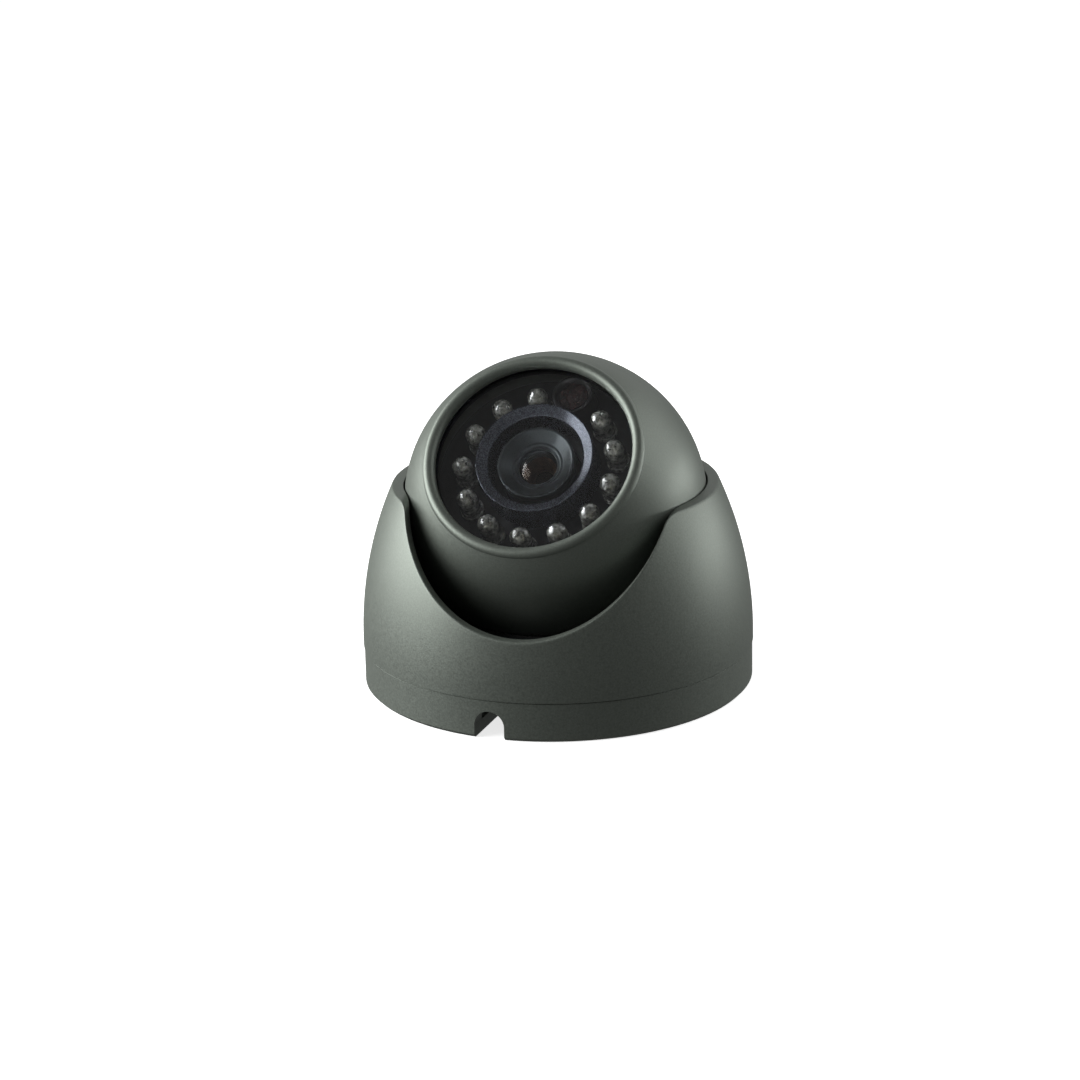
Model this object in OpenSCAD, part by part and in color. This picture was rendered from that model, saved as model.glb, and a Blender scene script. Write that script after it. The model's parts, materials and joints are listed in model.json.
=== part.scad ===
// Eyeball dome camera: a die-cast ball holding a board camera and infrared lamps, clamped inside a
// cover that turns on a round base. Millimetres, +Z away from the mounting surface, origin at the
// centre of the base's underside, and the cover's front cut facing -Y.

/* [Base] */
// Outer diameter of the base ring
base_d = 93.6; // [92:0.2:94]
// Height of the parting line between base and cover
seam_z = 9.5; // [9:0.1:10]
// Thickness of the base floor
floor_t = 3; // [2:0.5:4]
// Width of the cable notch
notch_w = 7.3; // [5:0.1:8]
// Height of the cable notch
notch_h = 6.85; // [5.5:0.05:7.5]
// Direction of the cable notch, from the front towards -X
notch_turn = 8.5; // [-30:0.5:30]
// Diameter of the circle of mounting holes
mount_pcd = 66; // [60:1:70]
// Diameter of a mounting hole
mount_hole_d = 4.5; // [3.5:0.1:5.5]
// Diameter of the cable hole in the floor
cable_hole_d = 24; // [16:1:30]

/* [Cover] */
// Widest diameter of the cover
cover_d = 94; // [94:0.5:98]
// Height of the cover's rim
rim_z = 48.8; // [48:0.2:50]
// Radius of the cover's side in section
side_r = 90.3; // [85:0.1:100]
// Wall thickness of the cover's side
cover_wall = 2.6; // [2.5:0.1:2.8]
// Radius of the front cut
cut_r = 32; // [28:0.5:33]
// Height of the front cut's lowest point
cut_floor_z = 24; // [22:0.5:28]
// Rounding radius of the front cut's shoulders
shoulder_r = 2.5; // [1:0.5:4]

/* [Ball] */
// Diameter of the ball
ball_d = 72.5; // [72:0.1:72.6]
// Height of the ball's centre
ball_z = 43.2; // [42.8:0.1:43.6]
// Upward aim of the lens at rest, in degrees
lens_aim = 42.9; // [15:0.1:90]
// Sideways aim of the ball in the cover at rest, in degrees
ball_yaw = 4.5; // [0:0.5:10]
// Wall thickness of the ball's shells
shell_wall = 3; // [2.5:0.1:3.2]
// Clear diameter of the window
window_d = 47.14; // [46:0.02:47.5]
// Thickness of the window glass
window_t = 2; // [1.5:0.1:2.2]

/* [Lamps and lens] */
// Number of infrared lamps, which share their circle with one light sensor
lamp_count = 12; // [6:1:12]
// Diameter of the circle of lamps
lamp_pcd = 36.6; // [35:0.2:38]
// Diameter of a lamp's body
lamp_d = 5; // [4:0.5:5]
// Height of a lamp
lamp_h = 8.6; // [8:0.1:8.6]
// Position of the light sensor on the circle, in degrees from the ball's right side
sensor_turn = 73.2; // [0:0.1:360]
// Outer diameter of the shade round the lens
shade_d = 28.1; // [26:0.1:29]
// Diameter of the lens head
lens_d = 18.4; // [14:0.2:18.6]

/* [Hidden] */
$fn = 72;
eps = 0.01;             // overlap that makes a cut run past a face
fit = 0.05;             // radial clearance of a running fit
slack = 0.15;           // radial clearance of a screw's passage
glass_fit = 0.02;       // radial clearance of a lens element
over = 1;               // how far a bore's cutter runs past a face

// Screws: radii of heads and of the hexagons in them, and the length of a head
small_head_r = 1.9;
small_head_h = 1.4;
small_hex_r = 0.8;
small_hex_depth = 0.7;
clamp_head_r = 2.1;
clamp_head_h = 1.6;
clamp_hex_r = 1;
clamp_hex_depth = 0.8;
lock_hex_r = 0.85;
shell_head_r = 2;
shell_head_h = 1.5;
shell_thread_r = 0.95;

base_r = base_d / 2;
cover_r = cover_d / 2;
ball_r = ball_d / 2;

// Base
seam_gap = 0.1;
seam_chamfer = 0.12;
foot_chamfer = 0.8;
shoulder_z = seam_z - seam_gap / 2;
skirt_z = seam_z + seam_gap / 2;
spigot_r = cover_r - 3 - fit;
spigot_in_r = spigot_r - 1.75;
spigot_z = 13.5;
groove_z = 12;
groove_h = 2.4;
groove_depth = 0.9;
notch_dir = 270 - notch_turn;
mount_dirs = [for (i = [0:2]) notch_dir + 60 + 120 * i];
mount_boss_r = 5;
mount_boss_z = 4.5;
gasket_in_r = spigot_r + 0.5;
gasket_out_r = gasket_in_r + 1.2;
gasket_depth = 0.8;

// Cover
side_x = cover_r - side_r;
side_z = 11.5;
ledge_z = 14;
rim_r = side_x + sqrt(pow(side_r, 2) - pow(rim_z - side_z, 2));
rim_chamfer = 0.7;
ball_gap = 0.3;
seat_r = ball_r + ball_gap;
boss_dirs = [-15, 55, 125, 195];
boss_circle_r = 39.5;
boss_r = 3.2;
boss_low_z = 19;
boss_high_z = 33;
rib_high_z = 30;
rib_t = 3;
rib_reach = 4.8;
clamp_low_z = 15;
clamp_lug_z = 16;
clamp_in_r = 20;
clamp_out_r = 33;
clamp_lug_r = 3.4;
clamp_lug_root = 30;
liner_t = 1.05;
lead_slot_w = 16;
clamp_screw_r = 1.2;
lock_dirs = [50, 130];
lock_r = 1.5;
lock_tip_r = 0.1;
lock_reach = 0.35;
lock_h = 2.9;
clamp_screw_reach = 7;
clamp_tap_z = boss_low_z + clamp_screw_reach + 1;

// Ball, along its own lens axis with the centre at 0
split_z = -10;
rear_z = -33;
crest_z = 26;
crest_round = 1.45;
crest_meet = 0.35;
window_r = window_d / 2;
lip_z = 23.8;
gasket_t = 0.4;
glass_z = lip_z - gasket_t;
glass_low_z = glass_z - window_t;
window_bore_r = 25.9;
glass_gap = 0.2;
led_board_z = 12.3;
board_t = 1.6;
led_board_low_z = led_board_z - board_t;
led_board_r = 29.5;
led_board_hole_r = 9.6;
cavity_r = ball_r - shell_wall;
shell_boss_r = 3.3;
shell_boss_circle_r = 30;
shell_boss_dirs = [30, 150, 270];
shell_boss_z = -4.2;
shell_head_z = -14.5;
seal_in_r = 33.6;
seal_out_r = 34.3;
seal_t = 0.6;

// Boards behind the lamps
post_circle_r = 27.9;
post_dirs = [90, 210, 330];
post_r = 2.3;
post_tap_h = 6;
plate_z = -2;
plate_t = 1.5;
plate_low_z = plate_z - plate_t;
plate_r = 30;
post_stud_r = 0.95;
sensor_board_z = 2.6;
sensor_board_low_z = sensor_board_z - board_t;
board_w = 38;
board_hole_x = 16.5;
board_screw_r = 1;
board_screw_gap = 0.1;
spacer_r = 2.2;
nut_r = 2.3;
nut_h = 1.6;
power_board_z = -7.5;
power_board_low_z = power_board_z - board_t;
harness_x = 24;
header_w = 8;
header_t = 4;
ribbon_w = 6;
ribbon_t = 0.4;

// Lens
thread_r = 6;
holder_w = 18;
holder_z = 8;
holder_top_z = 12;
holder_r = 7.6;
ear_x = 10.5;
ear_r = 2.5;
ear_h = 3.4;
well_w = 13;
ear_screw_r = 0.8;
filter_z = 6.4;
filter_t = 0.6;
lens_z = 20.9;
lens_cup_z = 18.6;
lens_cup_r = 6;
lens_shoulder_z = 14;
lens_low_z = 8.2;
front_glass_r = 4.6;
rear_glass_r = 3.4;
glass_seat = 1.6;
front_bulge_r = 9;
front_rim_drop = 0.6;
lock_ring_r = 8.4;
lock_ring_t = 1.4;
lock_ring_z = holder_top_z + 0.2;
shade_z = 21.35;
shade_lip = 0.3;
shade_bore_r = 11.5;
shade_cone_h = 1.25;
shade_shift = [-0.5, 1];
hood_r = 4.8;
hood_bore_r = 3.7;
hood_h = 6.8;
hood_circle_r = 19.9;
hood_turn = sensor_turn + 2.4;
hood_chamfer = [0.6, 0.8];
photo_sensor_r = 3.6;
photo_sensor_h = 5.7;
photo_sensor_edge = [0.3, 0.5];
lamp_flange = 0.4;
lamp_flange_t = 1;
retainer_h = 1.8;

// Lead bush in the rear wall
bush_r = 5;
bush_bore_r = 2.6;
rear_wall_z = rear_z + shell_wall;
bush_out = 2;
bush_cap_r = 7;
bush_cap_low_z = rear_wall_z + 0.6;
bush_cap_z = rear_wall_z + 1.8;
bush_ring_r = 6.8;

lamp_step = 360 / (lamp_count + 1);
function two_digits(i) = str(i < 10 ? "0" : "", i);
lamp_names = [for (i = [1:lamp_count]) str("ir_led_", two_digits(i))];

// ---- Shared shapes ----

// A point on a circle, and points along an arc of it
function on_circle(r, a) = [r * cos(a), r * sin(a)];
function arc(centre, r, a0, a1, steps) =
    [for (i = [0:steps]) centre + on_circle(r, a0 + (a1 - a0) * i / steps)];

// Half section of a flat ring from z0 to z1
module band(r0, r1, z0, z1) {
    translate([r0, z0]) square([r1 - r0, z1 - z0]);
}

module ring(r0, r1, z0, z1) {
    rotate_extrude() band(r0, r1, z0, z1);
}

module rod(r, z0, z1) {
    translate([0, 0, z0]) cylinder(r = r, h = z1 - z0);
}

module hex(r, z0, z1) {
    translate([0, 0, z0]) cylinder(r = r, h = z1 - z0, $fn = 6);
}

// Section that takes an outer edge off at 45 degrees; side is 1 for a lower edge, -1 for an upper one
module edge_cut(r, z, depth, side) {
    polygon([[r - depth, z], [r + 1, z], [r + 1, z + side * (depth + 1)]]);
}

// Children copied to each direction on a circle about the Z axis
module around(dirs, r) {
    for (a = dirs) rotate([0, 0, a]) translate([r, 0, 0]) children();
}

// Half section of a disc of the sphere of radius r between two heights
module sphere_band(r, z0, z1) {
    intersection() {
        circle(r = r);
        band(0, r + 1, z0, z1);
    }
}

// From the ball's own frame, with the lens along +Z, to the camera's frame
module aimed() {
    translate([0, 0, ball_z]) rotate([0, 0, -ball_yaw]) rotate([90 - lens_aim, 0, 0]) children();
}

// Children copied to a board's four screw positions
module at_board_corners() {
    for (x = [-board_hole_x, board_hole_x], y = [-board_hole_x, board_hole_x])
        translate([x, y, 0]) children();
}

// Children copied to the lens holder's two ears
module at_ears() {
    for (x = [-ear_x, ear_x]) translate([x, 0, 0]) children();
}

// ---- Base ----

// Section of the cable notch: straight sides under a round arch
module notch_outline() {
    translate([-notch_w / 2, -1]) square([notch_w, notch_h - notch_w / 2 + 1]);
    translate([0, notch_h - notch_w / 2]) circle(r = notch_w / 2);
}

module base_section() {
    difference() {
        union() {
            band(0, base_r, 0, floor_t);
            band(spigot_in_r, base_r, 0, shoulder_z);
            band(spigot_in_r, spigot_r, 0, spigot_z);
        }
        edge_cut(base_r, -eps, foot_chamfer, 1);
        edge_cut(base_r, shoulder_z + eps, seam_chamfer, -1);
        band(gasket_in_r - fit, gasket_out_r + fit, shoulder_z - gasket_depth, shoulder_z + eps);
        polygon([
            [spigot_r + eps, groove_z - groove_h / 2],
            [spigot_r + eps, groove_z + groove_h / 2],
            [spigot_r - groove_depth, groove_z]
        ]);
    }
}

module base_ring() {
    color([0.36, 0.39, 0.37]) difference() {
        union() {
            rotate_extrude() base_section();
            around(mount_dirs, mount_pcd / 2) rod(mount_boss_r, 0, mount_boss_z);
        }
        around(mount_dirs, mount_pcd / 2) rod(mount_hole_d / 2, -1, mount_boss_z + 1);
        rod(cable_hole_d / 2, -1, floor_t + 1);
        rotate([0, 0, notch_dir - 90]) rotate([-90, 0, 0]) mirror([0, 1, 0])
            linear_extrude(base_r + 5) notch_outline();
    }
}

module base_gasket() {
    color([0.08, 0.08, 0.08]) ring(gasket_in_r, gasket_out_r, shoulder_z - gasket_depth, skirt_z - fit);
}

// ---- Cover ----

// Half section of the cover's outside: a straight skirt that flows into a round side
module cover_outline() {
    difference() {
        intersection() {
            union() {
                translate([side_x, side_z]) circle(r = side_r, $fn = 240);
                square([cover_r, side_z]);
            }
            band(0, cover_r, skirt_z, rim_z);
        }
        edge_cut(rim_r, rim_z + eps, rim_chamfer, -1);
        edge_cut(cover_r, skirt_z - eps, seam_chamfer, 1);
    }
}

// Half section of the hollow: the skirt's bore, the side's inner face and the ball's seat
module cover_hollow() {
    band(0, spigot_r + fit, 0, ledge_z);
    intersection() {
        translate([side_x, side_z]) circle(r = side_r - cover_wall, $fn = 240);
        band(0, cover_r, ledge_z - eps, rim_z - 1.5);
    }
    translate([0, ball_z]) sphere_band(seat_r, 0, seat_r);
}

// Front view of the cut: a round trough whose shoulders roll over on to the rim
module front_cut_outline() {
    cut_z = cut_floor_z + cut_r;
    roll_z = rim_z - shoulder_r;
    roll_x = sqrt(pow(cut_r + shoulder_r, 2) - pow(cut_z - roll_z, 2));
    roll_end = atan2(cut_z - roll_z, -roll_x);
    translate([0, cut_z]) circle(r = cut_r, $fn = 120);
    for (side = [0, 1]) mirror([side, 0]) polygon(concat(
        arc([roll_x, roll_z], shoulder_r, 90, roll_end, 5),
        [[roll_x - 6, roll_z], [roll_x - 6, rim_z + 2], [roll_x, rim_z + 2]]
    ));
}

// A post inside the cover for one clamp screw, joined to the wall by a rib
module cover_boss() {
    rod(boss_r, boss_low_z, boss_high_z);
    translate([0, -rib_t / 2, boss_low_z]) cube([rib_reach, rib_t, rib_high_z - boss_low_z]);
}

module dome_cover() {
    color([0.38, 0.41, 0.39]) difference() {
        union() {
            difference() {
                rotate_extrude() difference() {
                    cover_outline();
                    cover_hollow();
                }
                rotate([90, 0, 0]) linear_extrude(cover_r + 10) front_cut_outline();
            }
            around(boss_dirs, boss_circle_r) cover_boss();
        }
        around(boss_dirs, boss_circle_r) rod(clamp_screw_r, boss_low_z - over, clamp_tap_z);
        for (a = lock_dirs) rotate([0, 0, a]) translate([cover_r - 6, 0, groove_z]) rotate([0, 90, 0])
            cylinder(r = lock_r, h = 8);
    }
}

// The gap at the back of the clamp parts through which the ball's lead passes
module lead_slot() {
    translate([-lead_slot_w / 2, 0, 0]) cube([lead_slot_w, cover_r, rim_z]);
}

module clamp_ring() {
    color([0.13, 0.13, 0.14]) difference() {
        union() {
            ring(clamp_in_r, clamp_out_r, clamp_low_z, boss_low_z);
            around(boss_dirs, boss_circle_r) {
                rod(clamp_lug_r, clamp_lug_z, boss_low_z);
                translate([-boss_circle_r + clamp_lug_root, -clamp_lug_r, clamp_lug_z])
                    cube([boss_circle_r - clamp_lug_root, 2 * clamp_lug_r, boss_low_z - clamp_lug_z]);
            }
        }
        rotate_extrude() translate([0, ball_z]) sphere_band(seat_r + liner_t, -ball_r - 2, 0);
        around(boss_dirs, boss_circle_r) rod(clamp_screw_r + slack, clamp_low_z, boss_low_z + over);
        lead_slot();
    }
}

module friction_liner() {
    color([0.1, 0.1, 0.1]) difference() {
        rotate_extrude() translate([0, ball_z]) difference() {
            sphere_band(seat_r + liner_t, clamp_low_z - ball_z, boss_low_z - ball_z);
            sphere_band(seat_r, -seat_r, 0);
        }
        lead_slot();
    }
}

module clamp_screws() {
    color("silver") around(boss_dirs, boss_circle_r) difference() {
        union() {
            rod(clamp_head_r, clamp_lug_z - clamp_head_h, clamp_lug_z);
            rod(clamp_screw_r - fit, clamp_lug_z - over, boss_low_z + clamp_screw_reach);
        }
        hex(clamp_hex_r, clamp_lug_z - 3, clamp_lug_z - clamp_hex_depth);
    }
}

// Set screws whose cone points reach into the base's groove without touching it
module lock_screws() {
    cone_h = lock_r - fit - lock_tip_r;
    color("silver") for (a = lock_dirs) rotate([0, 0, a]) translate([spigot_r - lock_reach, 0, groove_z])
        rotate([0, 90, 0]) difference() {
            union() {
                cylinder(r1 = lock_tip_r, r2 = lock_r - fit, h = cone_h);
                rod(lock_r - fit, cone_h - eps, lock_h);
            }
            hex(lock_hex_r, cone_h + 0.2, lock_h + over);
        }
}

// ---- Lead bush, which stays still while the ball rolls about it ----

module lead_bush() {
    color([0.12, 0.12, 0.12]) aimed() rotate_extrude() {
        band(bush_bore_r, bush_r - fit, rear_z - bush_out, bush_cap_z);
        band(bush_bore_r, bush_cap_r, bush_cap_low_z, bush_cap_z);
    }
}

module bush_seal() {
    color([0.05, 0.05, 0.05]) aimed() ring(bush_r + fit, bush_ring_r, rear_wall_z + 0.1, bush_cap_low_z);
}

module bush_clip() {
    color("silver") aimed() difference() {
        ring(bush_r, bush_ring_r, rear_z - 0.8, rear_z - 0.1);
        translate([-1, 0, rear_z - bush_out]) cube([2, bush_ring_r + 1.2, 3]);
    }
}

// ---- Ball shells ----

module shell_boss_cuts(r, z0, z1) {
    around(shell_boss_dirs, shell_boss_circle_r) rod(r, z0, z1);
}

// Half section of the front shell's outside and its mouth: a round bead stands on the sphere's edge, and
// the inner wall runs straight from the bead down to the window
module front_shell_section() {
    bead = [window_r + crest_round, crest_z - crest_round];
    difference() {
        union() {
            difference() {
                sphere_band(ball_r, split_z, bead[1] + crest_meet);
                band(0, window_r, lip_z - eps, crest_z);
                band(0, bead[0], bead[1], crest_z);
            }
            translate(bead) circle(r = crest_round);
        }
        band(0, window_bore_r, led_board_z - eps, lip_z);
    }
}

module front_shell() {
    color([0.42, 0.45, 0.43]) aimed() difference() {
        rotate_extrude() front_shell_section();
        difference() {
            rotate_extrude() sphere_band(cavity_r, split_z - 1, led_board_z);
            shell_boss_cuts(shell_boss_r, split_z - 2, shell_boss_z);
        }
        shell_boss_cuts(shell_thread_r + fit, split_z - over, shell_boss_z - 0.7);
        around(post_dirs, post_circle_r) rod(post_stud_r + fit, led_board_z - over, led_board_z + 5);
    }
}

module rear_shell() {
    color([0.42, 0.45, 0.43]) aimed() difference() {
        rotate_extrude() difference() {
            sphere_band(ball_r, rear_z, split_z);
            band(seal_in_r, seal_out_r, split_z - seal_t, split_z + eps);
            band(0, bush_r, rear_z - 1, rear_wall_z + 1);
        }
        difference() {
            rotate_extrude() sphere_band(cavity_r, rear_wall_z, split_z + 1);
            shell_boss_cuts(shell_boss_r, rear_z, split_z + 2);
        }
        shell_boss_cuts(shell_thread_r + 0.2, shell_head_z - over, split_z + over);
        shell_boss_cuts(shell_head_r + 0.3, rear_z, shell_head_z);
    }
}

module shell_seal() {
    color([0.06, 0.06, 0.06]) aimed() ring(seal_in_r, seal_out_r, split_z - seal_t, split_z);
}

module shell_screws() {
    color("silver") aimed() around(shell_boss_dirs, shell_boss_circle_r) difference() {
        union() {
            rod(shell_head_r, shell_head_z - shell_head_h, shell_head_z);
            rod(shell_thread_r, shell_head_z - over, shell_boss_z - 1);
        }
        hex(small_hex_r, shell_head_z - 3, shell_head_z - small_hex_depth);
    }
}

// ---- Window ----

module window_glass() {
    color([0.7, 0.8, 0.85, 0.35]) aimed() rod(window_bore_r - glass_gap, glass_low_z, glass_z);
}

module window_gasket() {
    in_r = window_r + glass_gap / 2;
    out_r = window_bore_r - glass_gap / 2;
    color([0.05, 0.05, 0.05]) aimed() ring(in_r, out_r, glass_z, lip_z);
}

module window_retainer() {
    color([0.1, 0.1, 0.1]) aimed()
        ring(window_r + 2 * glass_gap, window_bore_r - fit, glass_low_z - retainer_h, glass_low_z);
}

// ---- Lamp board and what stands on it ----

module led_board() {
    color([0.05, 0.07, 0.07]) aimed() difference() {
        ring(led_board_hole_r, led_board_r, led_board_low_z, led_board_z);
        around(post_dirs, post_circle_r) rod(post_stud_r + slack, led_board_low_z - over, led_board_z + over);
    }
}

// One clear lamp: flange, body and domed top, the i-th after the light sensor
module ir_led(i) {
    body_r = lamp_d / 2;
    dome_z = led_board_z + lamp_h - body_r;
    color([0.8, 0.85, 0.85, 0.6]) aimed() around([sensor_turn + i * lamp_step], lamp_pcd / 2) {
        rotate_extrude() {
            band(0, body_r + lamp_flange, led_board_z, led_board_z + lamp_flange_t);
            band(0, body_r, led_board_z, dome_z);
            intersection() {
                translate([0, dome_z]) circle(r = body_r);
                band(0, body_r, dome_z - 0.5, dome_z + body_r + 1);
            }
        }
    }
}

module photo_sensor() {
    color([0.25, 0.12, 0.1]) aimed() around([hood_turn], hood_circle_r) rotate_extrude() {
        band(0, photo_sensor_r, led_board_z, led_board_z + photo_sensor_h - photo_sensor_edge[1]);
        band(0, photo_sensor_r - photo_sensor_edge[0], led_board_z, led_board_z + photo_sensor_h);
    }
}

module sensor_hood() {
    color([0.2, 0.2, 0.21]) aimed() around([hood_turn], hood_circle_r) rotate_extrude() difference() {
        band(hood_bore_r, hood_r, led_board_z, led_board_z + hood_h);
        polygon([
            [hood_bore_r - eps, led_board_z + hood_h - hood_chamfer[1]],
            [hood_bore_r + hood_chamfer[0], led_board_z + hood_h + eps],
            [hood_bore_r - eps, led_board_z + hood_h + eps]
        ]);
    }
}

// The shade is stuck on slightly off the lens's centre
module lens_shade() {
    color([0.1, 0.11, 0.13]) aimed() translate(shade_shift) rotate_extrude() difference() {
        band(shade_bore_r, shade_d / 2, led_board_z, shade_z);
        polygon([
            [0, shade_z - shade_cone_h],
            [shade_bore_r, shade_z - shade_cone_h],
            [shade_d / 2 - shade_lip, shade_z + eps],
            [0, shade_z + eps]
        ]);
    }
}

module led_header() {
    color([0.9, 0.88, 0.8]) aimed()
        translate([harness_x - header_t / 2, -header_w / 2, led_board_low_z - header_t])
            cube([header_t, header_w, header_t]);
}

// Flat ribbon from the lamp board's header to the power board's edge
module led_harness() {
    top_z = led_board_low_z - header_t;
    low_z = power_board_z - 0.6;
    color([0.6, 0.6, 0.6]) aimed() rotate([90, 0, 0]) linear_extrude(ribbon_w, center = true) polygon([
        [harness_x, top_z],
        [harness_x + ribbon_t, top_z],
        [harness_x + ribbon_t, low_z - ribbon_t],
        [board_w / 2, low_z - ribbon_t],
        [board_w / 2, low_z],
        [harness_x, low_z]
    ]);
}

// ---- Posts, plate and boards ----

module board_posts() {
    color([0.75, 0.65, 0.35]) aimed() around(post_dirs, post_circle_r) difference() {
        union() {
            hex(post_r, plate_z, led_board_low_z);
            rod(post_stud_r, led_board_low_z - over, led_board_z + 4.5);
        }
        rod(post_stud_r + fit, plate_z - over, plate_z + post_tap_h);
    }
}

module carrier_plate() {
    color([0.7, 0.71, 0.72]) aimed() difference() {
        rod(plate_r, plate_low_z, plate_z);
        around(post_dirs, post_circle_r) rod(post_stud_r + slack, plate_low_z - over, plate_z + over);
        at_board_corners() rod(board_screw_r + board_screw_gap, plate_low_z - over, plate_z + over);
        translate([harness_x - 1.3, -header_w / 2, plate_low_z - over])
            cube([3, header_w, plate_t + 2 * over]);
    }
}

module carrier_screws() {
    color("silver") aimed() around(post_dirs, post_circle_r) difference() {
        union() {
            rod(small_head_r, plate_low_z - small_head_h, plate_low_z);
            rod(post_stud_r, plate_low_z - over, plate_z + post_tap_h - 2);
        }
        hex(small_hex_r, plate_low_z - 3, plate_low_z - small_hex_depth);
    }
}

module board_spacers() {
    color([0.75, 0.65, 0.35]) aimed() at_board_corners() {
        ring(board_screw_r + board_screw_gap, spacer_r, plate_z, sensor_board_low_z);
        ring(board_screw_r + board_screw_gap, spacer_r, power_board_z, plate_low_z);
    }
}

module board_screws() {
    color("silver") aimed() at_board_corners() difference() {
        union() {
            rod(small_head_r, sensor_board_z, sensor_board_z + small_head_h);
            rod(board_screw_r, power_board_low_z - nut_h - 0.2, sensor_board_z + over);
        }
        hex(small_hex_r, sensor_board_z + small_hex_depth, sensor_board_z + 3);
    }
}

module board_nuts() {
    color("silver") aimed() at_board_corners() difference() {
        hex(nut_r, power_board_low_z - nut_h, power_board_low_z);
        rod(board_screw_r + fit, power_board_low_z - 3, power_board_low_z + over);
    }
}

// A square circuit board, by the height of its front face
module square_board(z) {
    difference() {
        translate([-board_w / 2, -board_w / 2, z - board_t]) cube([board_w, board_w, board_t]);
        at_board_corners() rod(board_screw_r + board_screw_gap, z - board_t - over, z + over);
    }
}

module sensor_board() {
    color([0.05, 0.3, 0.15]) aimed() difference() {
        square_board(sensor_board_z);
        at_ears() rod(ear_screw_r + board_screw_gap, sensor_board_low_z - over, sensor_board_z + over);
    }
}

module image_sensor() {
    color([0.15, 0.15, 0.2]) aimed() translate([-5.5, -5.5, sensor_board_z]) cube([11, 11, 1.9]);
}

module processor_chip() {
    color([0.1, 0.1, 0.1]) aimed() translate([-5, -5, sensor_board_low_z - 1.2]) cube([10, 10, 1.2]);
}

module lens_holder() {
    color([0.08, 0.08, 0.09]) aimed() difference() {
        union() {
            translate([-holder_w / 2, -holder_w / 2, sensor_board_z])
                cube([holder_w, holder_w, holder_z - sensor_board_z]);
            translate([-ear_x, -ear_r, sensor_board_z]) cube([2 * ear_x, 2 * ear_r, ear_h]);
            at_ears() rod(ear_r, sensor_board_z, sensor_board_z + ear_h);
            rod(holder_r, holder_z - 1, holder_top_z);
        }
        translate([-well_w / 2, -well_w / 2, sensor_board_z - over])
            cube([well_w, well_w, filter_z - sensor_board_z + over]);
        rod(thread_r + fit, filter_z - over, holder_top_z + over);
        at_ears() rod(ear_screw_r + fit, sensor_board_z - over, sensor_board_z + 2.9);
    }
}

module holder_screws() {
    color("silver") aimed() at_ears() {
        rod(2 * ear_screw_r, sensor_board_low_z - 1.1, sensor_board_low_z);
        rod(ear_screw_r, sensor_board_low_z - 0.5, sensor_board_z + 2.7);
    }
}

module ir_cut_filter() {
    color([0.75, 0.3, 0.35, 0.6]) aimed() rod(thread_r, filter_z, filter_z + filter_t);
}

module power_board() {
    color([0.05, 0.3, 0.15]) aimed() square_board(power_board_z);
}

module power_capacitors() {
    color([0.15, 0.15, 0.25]) aimed() for (x = [-10, 10]) translate([x, 6, 0])
        rod(3.15, power_board_low_z - 7, power_board_low_z);
}

module power_inductor() {
    color([0.2, 0.2, 0.2]) aimed() translate([-4, -12, power_board_low_z - 4]) cube([8, 8, 4]);
}

module lead_header() {
    color([0.9, 0.88, 0.8]) aimed() translate([-5, 1.5, power_board_low_z - 6]) difference() {
        cube([10, 6, 6]);
        translate([1, 1, -1]) cube([8, 4, 5]);
    }
}

// ---- Lens ----

module lens_barrel() {
    head_r = lens_d / 2;
    color([0.1, 0.11, 0.12]) aimed() rotate_extrude() difference() {
        union() {
            band(0, thread_r, lens_low_z, lens_shoulder_z + 1);
            band(0, head_r, lens_shoulder_z, lens_z);
        }
        polygon([[0, lens_cup_z], [lens_cup_r, lens_cup_z], [head_r - 0.5, lens_z + eps], [0, lens_z + eps]]);
        band(0, front_glass_r + glass_fit, lens_cup_z - glass_seat, lens_cup_z + eps);
        band(0, rear_glass_r - 0.6, lens_low_z - over, lens_cup_z);
        band(0, rear_glass_r + glass_fit, lens_low_z - over, lens_low_z + glass_seat);
    }
}

// Front lens element: a disc with a bulged front
module lens_front_element() {
    rim = lens_cup_z - front_rim_drop;
    centre_z = rim - sqrt(pow(front_bulge_r, 2) - pow(front_glass_r, 2));
    color([0.3, 0.35, 0.45, 0.5]) aimed() rotate_extrude() {
        band(0, front_glass_r, lens_cup_z - glass_seat, rim);
        intersection() {
            translate([0, centre_z]) circle(r = front_bulge_r);
            band(0, front_glass_r, rim - 0.3, lens_z);
        }
    }
}

module lens_rear_element() {
    color([0.3, 0.35, 0.45, 0.5]) aimed() rod(rear_glass_r, lens_low_z + 0.2, lens_low_z + glass_seat);
}

module lens_lock_ring() {
    color([0.3, 0.3, 0.32]) aimed() difference() {
        ring(thread_r + 0.03, lock_ring_r, lock_ring_z, lock_ring_z + lock_ring_t);
        for (a = [0, 180]) rotate([0, 0, a]) translate([7, -0.8, lock_ring_z + 0.8]) cube([3, 1.6, 2]);
    }
}

base_ring();
base_gasket();
dome_cover();
clamp_ring();
friction_liner();
clamp_screws();
lock_screws();
lead_bush();
bush_seal();
bush_clip();
front_shell();
rear_shell();
shell_seal();
shell_screws();
window_glass();
window_gasket();
window_retainer();
led_board();
for (i = [1:lamp_count]) ir_led(i);
photo_sensor();
sensor_hood();
lens_shade();
led_header();
led_harness();
board_posts();
carrier_plate();
carrier_screws();
board_spacers();
board_screws();
board_nuts();
sensor_board();
image_sensor();
processor_chip();
lens_holder();
holder_screws();
ir_cut_filter();
power_board();
power_capacitors();
power_inductor();
lead_header();
lens_barrel();
lens_front_element();
lens_rear_element();
lens_lock_ring();
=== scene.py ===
import json
import math

import bpy
from mathutils import Matrix, Vector


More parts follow.
